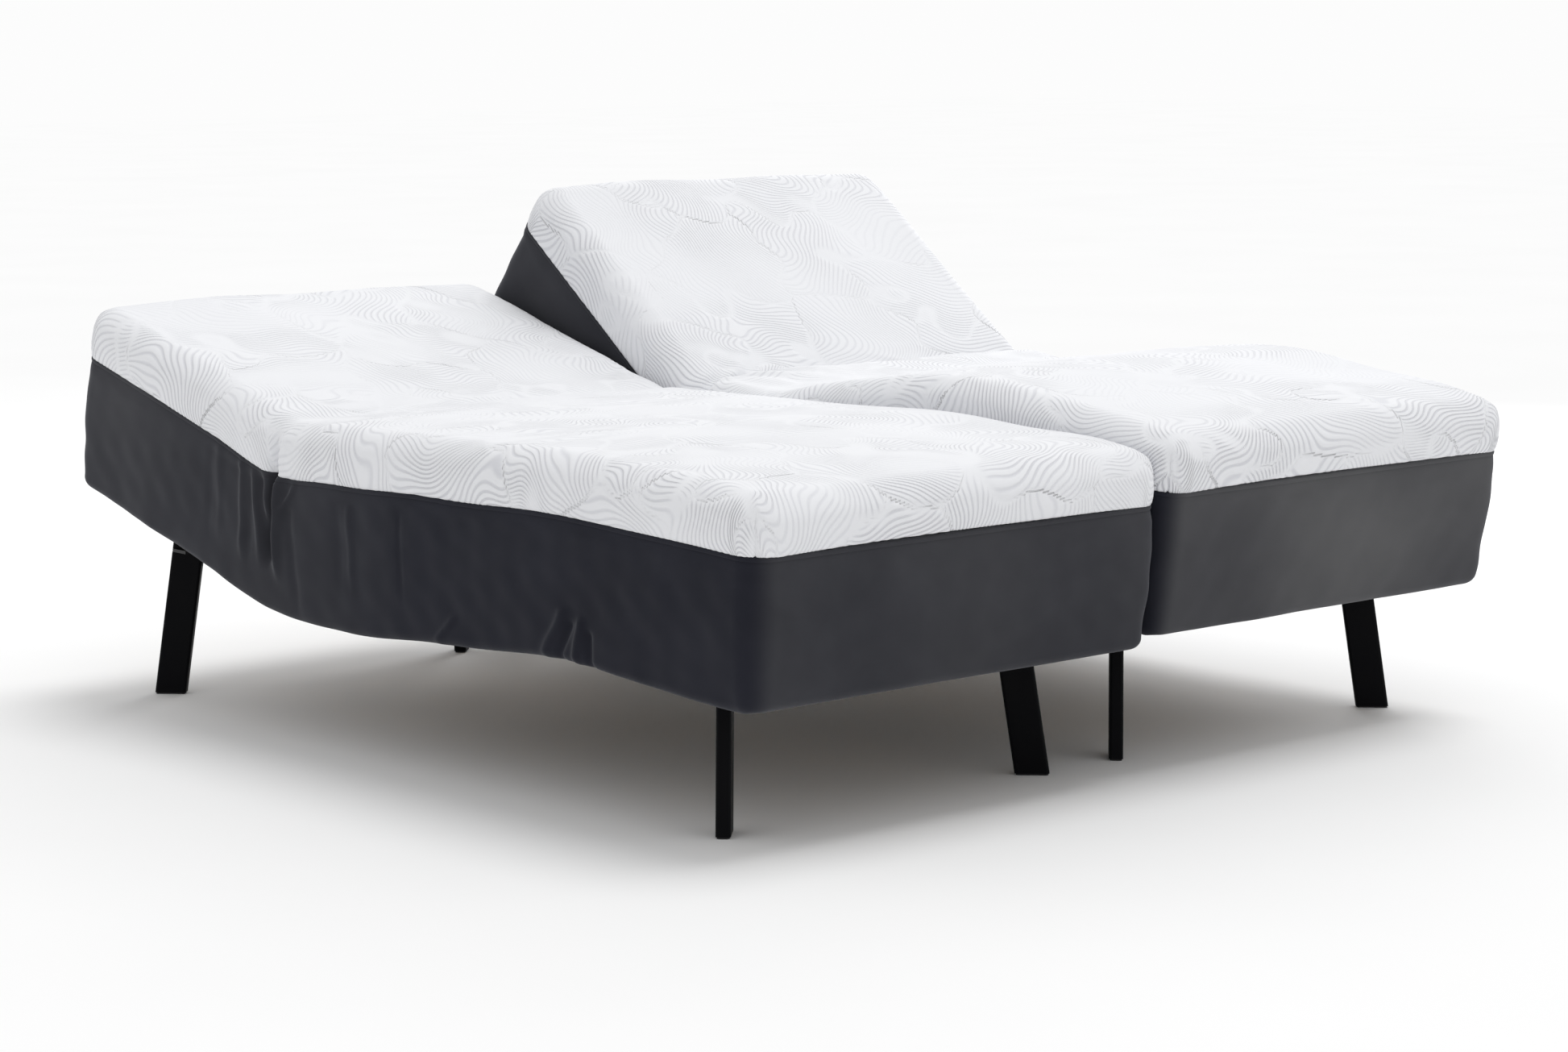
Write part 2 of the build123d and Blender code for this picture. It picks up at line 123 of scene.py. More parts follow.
# %% Colours and nodes
def colour(hex_code):
    parts = [int(hex_code[i : i + 2], 16) / 255 for i in (1, 3, 5)]
    return tuple(c / 12.92 if c <= 0.04045 else ((c + 0.055) / 1.055) ** 2.4 for c in parts) + (1.0,)


def per_mm(size):
    """The texture scale that makes one feature of a noise about this many millimetres wide."""
    return 1000 / size


def add(tree, kind, values=None, links=None, **settings):
    node = tree.nodes.new("ShaderNode" + kind)
    for name, value in settings.items():
        setattr(node, name, value)
    for name, value in (values or {}).items():
        node.inputs[name].default_value = value
    for name, socket in (links or {}).items():
        tree.links.new(socket, node.inputs[name])
    return node


def start_material(name):
    material = bpy.data.materials.new(name)
    material.use_nodes = True
    tree = material.node_tree
    tree.nodes.clear()
    output = add(tree, "OutputMaterial")
    shader = add(tree, "BsdfPrincipled")
    tree.links.new(shader.outputs["BSDF"], output.inputs["Surface"])
    return material, tree, shader


def finish_surface(shader, **values):
    """Sets constants on the shader itself, such as Roughness or Sheen_Weight."""
    for name, value in values.items():
        shader.inputs[name.replace("_", " ")].default_value = value


def two_tones(tree, factor, dark, light):
    """Mixes two colours. Each is a hex code or the output of another node."""
    mix = add(tree, "Mix", links={0: factor}, data_type="RGBA")
    for socket, tone in ((mix.inputs[6], dark), (mix.inputs[7], light)):
        if isinstance(tone, str):
            socket.default_value = colour(tone)
        else:
            tree.links.new(tone, socket)
    return mix.outputs[2]


# %% [markdown]
# ## White knitted cover
# The cover is a thick double-jersey knit of polyester, bleached optical white. It is quilted with flowing
# contour lines: broad soft bands with a thin sunk thread line between them. An image could hold such a
# pattern, but it would blur close up and stretch at the bends. So the mesh carries the lines as a number
# that grows by one from each line to the next, and the depth of the quilting at each place, and the
# shader draws the thread lines from them. To the eye this gives crisp grooves with soft shoulders. The
# shader also paints the grooves a little darker: painted shade in the sunk lines, deeper where the
# quilting is deeper.


# %% Quilted bands
def quilted_bands(tree):
    """The height of the quilting from 0 to 1, and the painted shade of its grooves, from the numbers on the
    mesh.
    """
    line = add(tree, "Attribute", attribute_name="line")
    relief = add(tree, "Attribute", attribute_name="relief")
    part = add(tree, "Math", operation="FRACT", links={0: line.outputs["Fac"]})
    centred = add(tree, "Math", values={1: 0.5}, links={0: part.outputs[0]}, operation="SUBTRACT")
    away = add(tree, "Math", operation="ABSOLUTE", links={0: centred.outputs[0]})
    band = add(
        tree,
        "MapRange",
        values={"From Min": 0.5, "From Max": 0.24, "To Min": 0.0, "To Max": 1.0},
        links={"Value": away.outputs[0]},
        interpolation_type="SMOOTHSTEP",
    )
    depth = relief.outputs["Fac"]
    raised = add(tree, "Math", links={0: band.outputs[0], 1: depth}, operation="MULTIPLY")
    groove = add(tree, "Math", values={0: 1.0}, links={1: band.outputs[0]}, operation="SUBTRACT")
    groove_shade = add(tree, "Math", links={0: groove.outputs[0], 1: depth}, operation="MULTIPLY")
    return raised.outputs[0], groove_shade.outputs[0]


# %% [markdown]
# The knit's loops are about 1.3 mm across and stand 0.4 mm proud: a faint even grain that makes the white
# look soft. Slow clouds, a hand wide, vary the white a little, as stretched and slack knit do. The fibre
# is dull, so roughness is high and specular low, with a little sheen from loose fibres at the edges.


# %% White cover material
def white_knit():
    material, tree, shader = start_material("double_jersey_knit_optical_white")
    raised, groove_shade = quilted_bands(tree)
    cloth = add(tree, "Attribute", attribute_name="cloth").outputs["Vector"]
    loops = add(
        tree,
        "TexNoise",
        values={"Scale": per_mm(1.3), "Detail": 2.0, "Roughness": 0.6},
        links={"Vector": cloth},
    )
    clouds = add(
        tree,
        "TexNoise",
        values={"Scale": per_mm(90), "Detail": 3.0, "Roughness": 0.5},
        links={"Vector": cloth},
    )
    # Base colour: slow clouds of tone, plus painted shade in the quilting grooves, from #ebecef to the
    # shaded #d9dadf.
    tone = add(
        tree,
        "Math",
        values={1: 0.10},
        links={0: clouds.outputs["Fac"], 2: groove_shade},
        operation="MULTIPLY_ADD",
    )
    tree.links.new(two_tones(tree, tone.outputs[0], "#ebecef", "#d9dadf"), shader.inputs["Base Color"])
    fine = add(
        tree,
        "Bump",
        values={"Strength": 0.25, "Distance": 0.0004},
        links={"Height": loops.outputs["Fac"]},
    )
    quilted = add(
        tree,
        "Bump",
        values={"Strength": 1.0, "Distance": 0.0013},
        links={"Height": raised, "Normal": fine.outputs["Normal"]},
    )
    tree.links.new(quilted.outputs["Normal"], shader.inputs["Normal"])
    finish_surface(shader, Roughness=0.88, Specular_IOR_Level=0.25, Sheen_Weight=0.18, Sheen_Roughness=0.6)
    return material


WHITE = white_knit()
print("made", WHITE.name)

# %% [markdown]
# ## Charcoal velour border
# The border is a warp-knit velour: polyester with a short, dense pile. The pile lies in soft patches that
# catch the light differently, so the grey wanders over a hand's width. On the end faces, and a little
# towards the head on the sides, the colour is painted much lighter: a painted sheen, as of brushed-up pile
# catching the light. The mesh says how much of this painted sheen each place takes. The pile's
# tufts are about 0.9 mm apart, a fine grain with no shine. Sheen makes the cloth lighter where it is seen
# edge-on, which is what tells velour from plain cloth.


# %% Border material
def charcoal_velour():
    material, tree, shader = start_material("warp_knit_velour_charcoal")
    cloth = add(tree, "Attribute", attribute_name="cloth").outputs["Vector"]
    # Painted sheen: this field says how far the velour is painted lighter, as if its pile were brushed up.
    pile_sheen_share = add(tree, "Attribute", attribute_name="pile_sheen").outputs["Fac"]
    nap = add(
        tree,
        "TexNoise",
        values={"Scale": per_mm(160), "Detail": 5.0, "Roughness": 0.6, "Distortion": 0.3},
        links={"Vector": cloth},
    )
    tufts = add(
        tree,
        "TexNoise",
        values={"Scale": per_mm(0.9), "Detail": 3.0, "Roughness": 0.7},
        links={"Vector": cloth},
    )
    both = add(
        tree,
        "Math",
        values={1: 0.7},
        links={0: tufts.outputs["Fac"], 2: nap.outputs["Fac"]},
        operation="MULTIPLY_ADD",
    )
    spread = add(
        tree,
        "MapRange",
        values={"From Min": 0.45, "From Max": 1.25},
        links={"Value": both.outputs[0]},
    ).outputs[0]
    # The base tones of the velour, and a much lighter copy of them that is painted sheen.
    unsheened_velour = two_tones(tree, spread, "#191a22", "#272831")
    painted_sheen_velour = two_tones(tree, spread, "#515153", "#606061")
    tree.links.new(two_tones(tree, pile_sheen_share, unsheened_velour, painted_sheen_velour), shader.inputs["Base Color"])
    bump = add(
        tree,
        "Bump",
        values={"Strength": 0.35, "Distance": 0.0005},
        links={"Height": tufts.outputs["Fac"]},
    )
    tree.links.new(bump.outputs["Normal"], shader.inputs["Normal"])
    finish_surface(shader, Roughness=0.92, Specular_IOR_Level=0.15, Sheen_Weight=0.30, Sheen_Roughness=0.4)
    finish_surface(shader, Sheen_Tint=colour("#bfc1c6"))
    return material


VELOUR = charcoal_velour()
print("made", VELOUR.name)

# %% [markdown]
# ## Hard materials
# Paint, moulded plastic, bare steel and board have one thing in common: a base colour with slow wear, and
# a fine surface grain. So one function makes them all, from two colours, the grain's size and depth, and
# the roughness, which wanders by 0.06 with the wear. Grain that is stretched one way gives ground rods
# and pressed board their direction. All keep the usual IOR of 1.5.


# %% Finish of a hard part
def hard_finish(name, dark, light, grain_mm, rough, metal=0.0, depth=0.0001, stretch=(1, 1, 1), shine=0.5):
    material, tree, shader = start_material(name)
    position = add(tree, "TexCoord").outputs["Object"]
    stretched = add(tree, "Mapping", values={"Scale": stretch}, links={"Vector": position})
    grain = add(
        tree,
        "TexNoise",
        values={"Scale": per_mm(grain_mm), "Detail": 3.0, "Roughness": 0.6},
        links={"Vector": stretched.outputs[0]},
    )
    wear = add(
        tree,
        "TexNoise",
        values={"Scale": per_mm(60), "Detail": 5.0, "Roughness": 0.6},
        links={"Vector": position},
    )
    both = add(
        tree,
        "Math",
        values={1: 0.4},
        links={0: grain.outputs["Fac"], 2: wear.outputs["Fac"]},
        operation="MULTIPLY_ADD",
    )
    tone = add(tree, "MapRange", values={"From Min": 0.4, "From Max": 1.0}, links={"Value": both.outputs[0]})
    tree.links.new(two_tones(tree, tone.outputs[0], dark, light), shader.inputs["Base Color"])
    gloss = add(
        tree,
        "MapRange",
        values={"From Min": 0.3, "From Max": 0.7, "To Min": rough - 0.06, "To Max": rough + 0.06},
        links={"Value": wear.outputs["Fac"]},
    )
    tree.links.new(gloss.outputs[0], shader.inputs["Roughness"])
    bump = add(
        tree,
        "Bump",
        values={"Strength": 0.4, "Distance": depth},
        links={"Height": grain.outputs["Fac"]},
    )
    tree.links.new(bump.outputs["Normal"], shader.inputs["Normal"])
    finish_surface(shader, Metallic=metal, Specular_IOR_Level=shine)
    return material


# %% [markdown]
# Powder coat is sprayed dry and baked, which leaves an orange-peel skin a couple of millimetres wide. The
# legs have it in satin black with hardly any reflection, the frame in a duller black. Glides and drive
# housings are moulded with a fine texture. Rollers are turned nylon. Bolts and shafts are zinc-plated,
# with a bright, slightly uneven face. Push rods are ground and chromed, so they are the only part with
# clear reflections. The boards are raw wood fibre, with the fibres drawn coarse enough to show.

# %% Hard materials
HARD = {
    "leg_paint": hard_finish("powder_coat_black_satin", "#020204", "#050509", 2.2, 0.5, shine=0.08),
    "frame_paint": hard_finish("powder_coat_black_matt", "#0d0e10", "#17181b", 1.8, 0.55),
    "glide_plastic": hard_finish("polyethylene_black_moulded", "#0b0b0d", "#151517", 1.2, 0.6),
    "housing_plastic": hard_finish("glass_filled_nylon_black_textured", "#101113", "#1b1c1f", 0.8, 0.62),
    "roller_nylon": hard_finish("nylon_natural_turned", "#cfcdc4", "#dedcd4", 1.5, 0.5),
    "zinc_steel": hard_finish(
        "zinc_plated_steel_bright", "#9a9da1", "#b9bcc0", 0.6, 0.35, metal=1.0, depth=0.00003
    ),
    "rod_steel": hard_finish(
        "chromed_steel_ground", "#b0b2b5", "#d0d2d4", 0.4, 0.16, metal=1.0, depth=0.00001, stretch=(1, 30, 1)
    ),
    "board": hard_finish("wood_fibre_board_raw", "#a98c66", "#c3a881", 1.4, 0.8, stretch=(1, 0.3, 1)),
}
print("made", [material.name for material in HARD.values()])

# %% [markdown]
# Each CAD node keeps its mesh. Only the material in its slots changes, found by the slot's name in the
# record. The soft CAD blocks get the fabrics too, though the skins stand for them in every picture.

# %% Materials on the CAD nodes
FINISHES = {**HARD, "white_cover": WHITE, "grey_border": VELOUR}
painted = {}
for node in frame["nodes"].values():
    for slot in node.material_slots:
        slot_name = slot.material.name.split(".")[0] if slot.material else ""
        if slot_name in FINISHES:
            slot.material = FINISHES[slot_name]
            painted[slot_name] = painted.get(slot_name, 0) + 1
print("CAD slots painted", painted)

# %% [markdown]
# ## Smooth fields
# Cloth needs slow, natural variation. A noise texture would only reach the shader, and the meshes need
# the same kind of variation in their points, so it is made here as a sum of a few long waves in random
# directions. The random numbers are seeded, so each run makes the same bed. A smooth step and a bell
# curve do the rest: they fade one shape into the next, and place a single fold.


# %% Waves, steps and humps
def smooth(t):
    t = np.clip(t, 0, 1)
    return t * t * (3 - 2 * t)


def hump(x, centre, width):
    return np.exp(-(((x - centre) / width) ** 2))


def soft_noise(x, y, size, seed, count=14):
    rng = np.random.default_rng(seed)
    total = np.zeros_like(x)
    for _ in range(count):
        turn, shift = rng.uniform(0, 2 * math.pi, 2)
        wave = 2 * math.pi / (size * rng.uniform(0.7, 2.2))
        total += np.cos(wave * (x * math.cos(turn) + y * math.sin(turn)) + shift)
    return total / math.sqrt(count / 2)


# %% [markdown]
# ## Contour lines of the cover
# The quilting machine sews patches of nearly parallel curves that meet other patches at an angle, like
# the grain of sliced wood. Parallel curves are rings round a far centre, seen only in part. So centres
# of patches are scattered at least 210 mm apart, each with a hub for its rings and a line spacing of 8.5
# to 12.5 mm. A place takes the rings of the patch that is nearest, with the distances warped so that
# neither the rings nor the patches look ruled. The quilting fades out along the border of two patches,
# and where the warp would press the lines too close together.


# %% Contour lines
def patch_centres(rng):
    centres = []
    for _ in range(4000):
        spot = np.array([rng.uniform(-0.62, 0.62), rng.uniform(-0.2, 2.2)])
        if all(np.hypot(*(spot - other)) > 0.21 for other in centres):
            centres.append(spot)
    return centres


def contour_field(u, v, seed):
    """The number of the line at each place of the cloth, and how deep the quilting is there."""
    rng = np.random.default_rng(seed)
    centres = patch_centres(rng)
    warp_u = u + 0.035 * soft_noise(u, v, 0.16, seed + 1)
    warp_v = v + 0.035 * soft_noise(u, v, 0.16, seed + 2)
    bent_u = u + 0.016 * soft_noise(u, v, 0.17, seed + 3)
    bent_v = v + 0.016 * soft_noise(u, v, 0.17, seed + 4)
    nearest, second = np.full(u.shape, 9.0), np.full(u.shape, 9.0)
    line, gap = np.zeros_like(u), np.zeros_like(u)
    for spot in centres:
        away = np.hypot(warp_u - spot[0], warp_v - spot[1])
        turn = rng.uniform(0, math.pi)
        far = rng.uniform(0.10, 0.40)
        hub = spot + far * np.array([math.cos(turn), math.sin(turn)])
        spacing = rng.uniform(0.0085, 0.0125)
        rings = np.hypot(bent_u - hub[0], bent_v - hub[1]) / spacing + rng.uniform(0, 40)
        slope = np.hypot(np.gradient(rings, v[:, 0], axis=0), np.gradient(rings, u[0], axis=1))
        nearer = away < nearest
        second = np.where(nearer, nearest, np.minimum(second, away))
        line = np.where(nearer, rings, line)
        gap = np.where(nearer, 1 / np.maximum(slope, 1e-6), gap)
        nearest = np.where(nearer, away, nearest)
    print("patches", len(centres))
    return line, smooth((second - nearest) / 0.03) * smooth((gap - 0.0045) / 0.003)


# %% [markdown]
# ## From the flat bed to the bed as it stands
# Every skin is laid out on the flat bed, where widths and heights are plain to measure. Then each point
# turns about the hinges of the frame: the head part about the back hinge, the rest about the thigh hinge
# and the knee.

# %% Bending
BACK_ZONE = {"left": (SEAT_CUT, 1.545), "right": (1.140, 1.450)}
THIGH_ZONE = (SEAT_CUT, 0.860)
KNEE_ZONE = (0.765, 0.265)


def turned(y, zone):
    """The share of a hinge's turn that a place has taken: none at the zone's start, all at its end."""
    return smooth((y - zone[0]) / (zone[1] - zone[0]))


def turn_about(points, y, z, angle):
    out = points.copy()
    dy, dz = points[:, 1] - y, points[:, 2] - z
    out[:, 1] = y + dy * np.cos(angle) - dz * np.sin(angle)
    out[:, 2] = z + dy * np.sin(angle) + dz * np.cos(angle)
    return out


def to_rest(grid, bed):
    points = grid.reshape(-1, 3)
    flat_y = points[:, 1].copy()
    back, thigh = math.radians(bed["back_turn"]), math.radians(bed["thigh_turn"])
    knee = thigh * (1 + FOOT_PER_THIGH)
    out = turn_about(points, KNEE_Y, bed["hinge_z"], knee * turned(flat_y, KNEE_ZONE))
    out = turn_about(out, bed["thigh_y"], bed["hinge_z"], -thigh * turned(flat_y, THIGH_ZONE))
    out = turn_about(out, BACK_Y, bed["hinge_z"], back * turned(flat_y, BACK_ZONE[bed["side"]]))
    return (out + np.array([bed["middle_x"], bed["foot_y"], 0])).reshape(grid.shape)


# %% [markdown]
# A bed that has stood in use is not quite straight. The left bed sinks a little from the knee to the
# foot. The foam of the right bed is pressed together at the hip, where the head part stands steep, and
# swells upward there by 20 mm. Both beds drop a few millimetres towards the foot end. The seam follows
# only part of this, so the height depends on the level in the cover's wall.


# %% Slack of the slab
def settle(y, side, level):
    """Height added at a place along the bed. The level is 0 at the seam and 1 on top."""
    foot_drop = -(0.003 + 0.010 * level) * smooth((0.16 - y) / 0.2)
    if side == "left":
        head_rise = 0.005 * smooth((y - 1.40) / 0.6)
        return foot_drop + head_rise - 0.008 * smooth((0.98 - y) / 0.36)
    hip_swell = level * 0.020 * hump(y, 1.215, 0.085)
    return foot_drop + hip_swell - 0.002 * hump(y, 0.95, 0.13) - 0.007 * hump(y, 0.50, 0.20)


# %% [markdown]
# Fabric is cut with ease: it is wider than the foam and stands off it on the open sides and at the ends.
# Where the two beds face each other it is pressed flat, and must stay clear of the other bed while one
# of them moves, so the inner side has a limit that no fold or quilting passes. At the hip the cloth
# draws in at the seam, and a small roll stands out on each side of the fold.


# %% Ease of the cloth
def outer(bed):
    """The way along X from the middle of the bed to its open side."""
    return -1 if bed["side"] == "left" else 1


def keep_clear(x, bed):
    """Stops the cloth at the gap between the two beds."""
    limit = bed["half"] + 0.0020
    return np.where(x * outer(bed) > 0, x, np.clip(x, -limit, limit))


def ease(x, y, bed, more):
    """Moves flat points outward by the cloth's ease. The border has a little more of it than the cover."""
    wide = np.where(x * outer(bed) > 0, 0.0146 + more, 0.0025 + more)
    x = keep_clear(x * (1 + wide / bed["half"]), bed)
    y = y - (0.0116 + more) * smooth((0.30 - y) / 0.30) + (0.004 + more) * smooth((y - 1.75) / 0.25)
    return x, y


def pinch(y, side):
    """How far the seam moves outward at the hip."""
    if side == "left":
        return -0.020 * hump(y, 1.322, 0.011) + 0.006 * hump(y, 1.294, 0.013) + 0.004 * hump(y, 1.352, 0.016)
    return -0.014 * hump(y, 1.296, 0.016) + 0.005 * hump(y, 1.262, 0.014) + 0.005 * hump(y, 1.335, 0.018)


# %% [markdown]
# ## Meshes from grids
# A skin is a grid of points in rows and columns, worked out with numpy. Box modelling with a subdivision
# surface would round the seam and the thin quilting away, and a grid gives each point its exact place.
# The rows lie closer together round the hip, where the folds are. Normals are worked out on the whole
# grid before it is cut into pieces, so that the cuts at the hinges don't show.


# %% Rows and normals
def spaced(start, end, step):
    """Places along the bed, closer together round the hip, with the two cuts among them."""
    fine = np.linspace(start, end, 4000)
    density = 1 + 1.3 * hump(fine, 1.335, 0.095) + 0.5 * hump(fine, 0.46, 0.08)
    run = np.concatenate([[0], np.cumsum((density[1:] + density[:-1]) / 2 * np.diff(fine))])
    places = np.interp(np.linspace(0, run[-1], int(run[-1] / step) + 1), run, fine)
    for cut in (THIGH_CUT, SEAT_CUT):
        places[np.argmin(np.abs(places - cut))] = cut
    return places


def grid_normals(p):
    n = np.cross(np.gradient(p, axis=1), np.gradient(p, axis=0))
    length = np.linalg.norm(n, axis=2, keepdims=True)
    return n / np.maximum(length, 1e-12)


# %% [markdown]
# A mesh of a hundred thousand faces is filled in one go with foreach_set, which is far quicker than
# adding faces one by one. The fields that the shaders read, such as the cloth's own coordinates, are
# stored on the points.


# %% Mesh of a grid
def grid_mesh(name, p, normals, fields, material):
    rows, columns = p.shape[:2]
    number = np.arange(rows * columns).reshape(rows, columns)
    corners = [number[:-1, :-1], number[:-1, 1:], number[1:, 1:], number[1:, :-1]]
    quads = np.stack(corners, axis=-1).reshape(-1, 4)
    mesh = bpy.data.meshes.new(name)
    mesh.vertices.add(rows * columns)
    mesh.vertices.foreach_set("co", p.reshape(-1).astype(np.float32))
    mesh.loops.add(quads.size)
    mesh.loops.foreach_set("vertex_index", quads.reshape(-1).astype(np.int32))
    mesh.polygons.add(len(quads))
    mesh.polygons.foreach_set("loop_start", np.arange(0, quads.size, 4, dtype=np.int32))
    mesh.update(calc_edges=True)
    mesh.validate()
    for field, values in fields.items():
        kind, key = ("FLOAT_VECTOR", "vector") if values.ndim == 3 else ("FLOAT", "value")
        attribute = mesh.attributes.new(field, kind, "POINT")
        attribute.data.foreach_set(key, values.reshape(-1).astype(np.float32))
    mesh.polygons.foreach_set("use_smooth", np.ones(len(mesh.polygons), bool))
    mesh.normals_split_custom_set_from_vertices(normals.reshape(-1, 3))
    mesh.materials.append(material)
    obj = bpy.data.objects.new(name, mesh)
    bpy.context.scene.collection.objects.link(obj)
    print(name, len(mesh.vertices), "points")
    return obj


# %% [markdown]
# Each piece takes the place of the CAD parts of its section, which are hidden. Neighbouring pieces share the
# row at their cut, so no gap opens there.


# %% Standing in for the CAD parts
def tie(obj, bed, nodes):
    side = bed["side"]
    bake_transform(obj)
    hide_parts(*[side + "_" + node for node in nodes])


# %% [markdown]
# ## The white cover
# The cover is one sheet of knit over tight foam: a flat top, a rounded top edge, and a wall that bulges
# by a millimetre and tucks in at the seam. Cloth simulation would wrinkle it at random. A profile that
# is swept round the bed puts the edge and the seam where they belong. The profile runs from the flat top
# outward and down, and ends in a lip that turns under, behind the border.


# %% Edge profile
def edge_profile():
    """How far out and how far down the cloth is, by distance along the cloth from the flat top."""
    turn = np.linspace(0, 1, 400) * math.pi / 2
    edge_out = PLAN_R - TOP_R + (TOP_R + 0.001) * np.sin(turn) ** 0.95
    edge_down = TOP_R * (1 - np.cos(turn))
    share = np.linspace(0, 1, 200)[1:]
    wall_down = TOP_R + share * (TOP_Z - SEAM_Z - TOP_R)
    wall_out = PLAN_R + 0.001 + 0.0012 * np.sin(share * math.pi) - (TUCK - 0.001) * share**4
    out = np.concatenate([[0], edge_out, wall_out, [PLAN_R - TUCK - 0.010]])
    down = np.concatenate([[0], edge_down, wall_down, [wall_down[-1] + 0.0015]])
    length = np.concatenate([[0], np.cumsum(np.hypot(np.diff(out), np.diff(down)))])
    return length, out, down


PROFILE_LENGTH, PROFILE_OUT, PROFILE_DOWN = edge_profile()
SKIRT = PROFILE_LENGTH[-1]
print("cloth from the flat top to the seam, m", round(SKIRT, 4))

# %% [markdown]
# Across the hip, where the head part rises, the top cloth is pressed together into a valley, with a soft
# roll on each side of it, and the walls pinch into small rolls. On the right bed, which bends more,
# wrinkles also fan out from the inner end of the valley. Each of these is a hump or a wave along the
# bed, and the valley wanders a little, so that it isn't ruled.


# %% Creases of the cover
def left_creases(u, y, wander, wall):
    lift = -0.0035 * hump(y + wander, 1.300, 0.030) + 0.0020 * hump(y + wander, 1.235, 0.035)
    lift += 0.0020 * hump(y + wander, 1.375, 0.045)
    lift += wall * (-0.0050 * hump(y, 1.302, 0.010) + 0.0032 * hump(y, 1.283, 0.011))
    lift += wall * (0.0030 * hump(y, 1.322, 0.012) - 0.0030 * hump(y, 1.345, 0.014))
    return lift


def right_creases(u, y, wander, wall):
    lift = -0.0060 * hump(y + wander, 1.292, 0.024) + 0.0045 * hump(y + wander, 1.215, 0.030)
    lift += 0.0045 * hump(y + wander, 1.378, 0.036)
    lift += wall * (-0.0060 * hump(y, 1.292, 0.014) + 0.0035 * hump(y, 1.262, 0.014))
    rolls = np.sin(2 * math.pi * (y + 0.028 * soft_noise(u, y, 0.30, 33)) / 0.066)
    lift += 0.0034 * rolls * hump(y, 1.290, 0.085) * smooth(0.7 + 0.5 * soft_noise(u, y, 0.25, 34))
    away, turn = np.hypot(u + 0.47, y - 1.285), np.arctan2(y - 1.285, u + 0.47)
    fan = np.sin(19 * turn + 1.2 * soft_noise(u, y, 0.22, 35))
    reach = smooth((away - 0.05) / 0.08) * smooth((0.44 - away) / 0.26)
    return lift + 0.0056 * fan * reach * hump(turn, -0.10, 0.80)


def cover_creases(u, y, wall, side):
    """Outward movement in metres."""
    wander = 0.010 * soft_noise(u, np.zeros_like(u), 0.5, 31)
    creases = left_creases if side == "left" else right_creases
    slack = 0.0012 * soft_noise(u, y, 0.26, 57) * (1 - 0.4 * wall)
    return creases(u, y, wander, wall) + slack


# %% [markdown]
# The grid's columns run across the bed and down both walls, its rows along it and down both ends. At a
# corner the square of cloth is gathered round a quarter turn, which brings the upright seam onto the
# diagonal, as the sewer does with the real cover. The cloth's own coordinates run straight over the edge
# and down the wall, so the quilted lines do too.


# %% Grid of the cover
def cover_grid(bed):
    """The cloth's coordinates, the distance from the flat top, the share of a corner, and the points."""
    half = bed["half"] - PLAN_R
    u = np.linspace(-half - SKIRT, half + SKIRT, 2 * int((half + SKIRT) / CELL) + 1)
    v = spaced(PLAN_R - SKIRT, LENGTH - PLAN_R + SKIRT, CELL)
    uu, vv = np.meshgrid(u, v)
    over_u = np.maximum(np.abs(uu) - half, 0)
    over_v = np.maximum(PLAN_R - vv, 0) + np.maximum(vv - LENGTH + PLAN_R, 0)
    away = np.maximum(over_u, over_v)
    share = np.where(away > 0, np.minimum(over_u, over_v) / np.maximum(away, 1e-9), 0) * math.pi / 4
    angle = np.where(over_u >= over_v, share, math.pi / 2 - share)
    along_x, along_y = np.sign(uu) * np.cos(angle), np.where(vv > 1, 1, -1) * np.sin(angle)
    out = np.interp(away, PROFILE_LENGTH, PROFILE_OUT)
    down = np.interp(away, PROFILE_LENGTH, PROFILE_DOWN)
    x = np.clip(uu, -half, half) + along_x * out
    y = np.clip(vv, PLAN_R, LENGTH - PLAN_R) + along_y * out
    drawn = pinch(y, bed["side"]) * smooth((away - 0.03) / 0.08) * np.abs(along_x) ** 4 * (over_u > 0)
    crown = 0.004 * (1 - (np.clip(uu, -half, half) / half) ** 2)
    z = bed["top_z"] - down + crown + settle(y, bed["side"], 1 - down / (TOP_Z - SEAM_Z))
    x, y = ease(x, y, bed, 0.0)
    return uu, vv, away, share, np.stack([x + np.sign(uu) * drawn, y, z], axis=2)


# %% [markdown]
# Now the quilting is raised by up to a millimetre along the normals, together with the creases, the sunk
# corner seams and the small roll where a corner is gathered. The relief is real mesh, so it also shows
# in the outline of the bed, and the shader only sharpens it. Then the sheet is bent to the bed's angles
# and cut into its three pieces.


# %% Cover of one bed
def raise_cover(bed, seed):
    uu, vv, away, share, p = cover_grid(bed)
    line, shown = contour_field(uu, vv, seed)
    wall = smooth((away - 0.03) / 0.04)
    patchy = smooth(0.62 + 0.5 * soft_noise(uu, vv, 0.30, seed + 9))
    relief = shown * np.clip(0.12 + 0.45 * patchy + 0.45 * smooth((away + 0.02) / 0.06), 0, 1)
    relief = relief * smooth((SKIRT - 0.004 - away) / 0.012)
    bands = 0.5 - 0.5 * np.cos(2 * math.pi * line)
    quilting = (0.0004 + 0.0006 * smooth(away / 0.04)) * relief * bands
    corner_seam = 0.0022 * hump(share, math.pi / 4, 0.035) * smooth((away - 0.045) / 0.03)
    corner_roll = 0.0025 * hump(share, math.pi / 4, 0.16) * hump(away, 0.050, 0.014)
    creases = smooth((SKIRT - away) / 0.03) * cover_creases(uu, p[:, :, 1], wall, bed["side"])
    lift = quilting + creases - corner_seam + corner_roll
    p = p + grid_normals(p) * lift[:, :, None]
    p[:, :, 0] = keep_clear(p[:, :, 0], bed)
    cloth = np.stack([uu, vv, np.zeros_like(uu)], axis=2)
    return to_rest(p, bed), {"cloth": cloth, "line": line, "relief": relief}


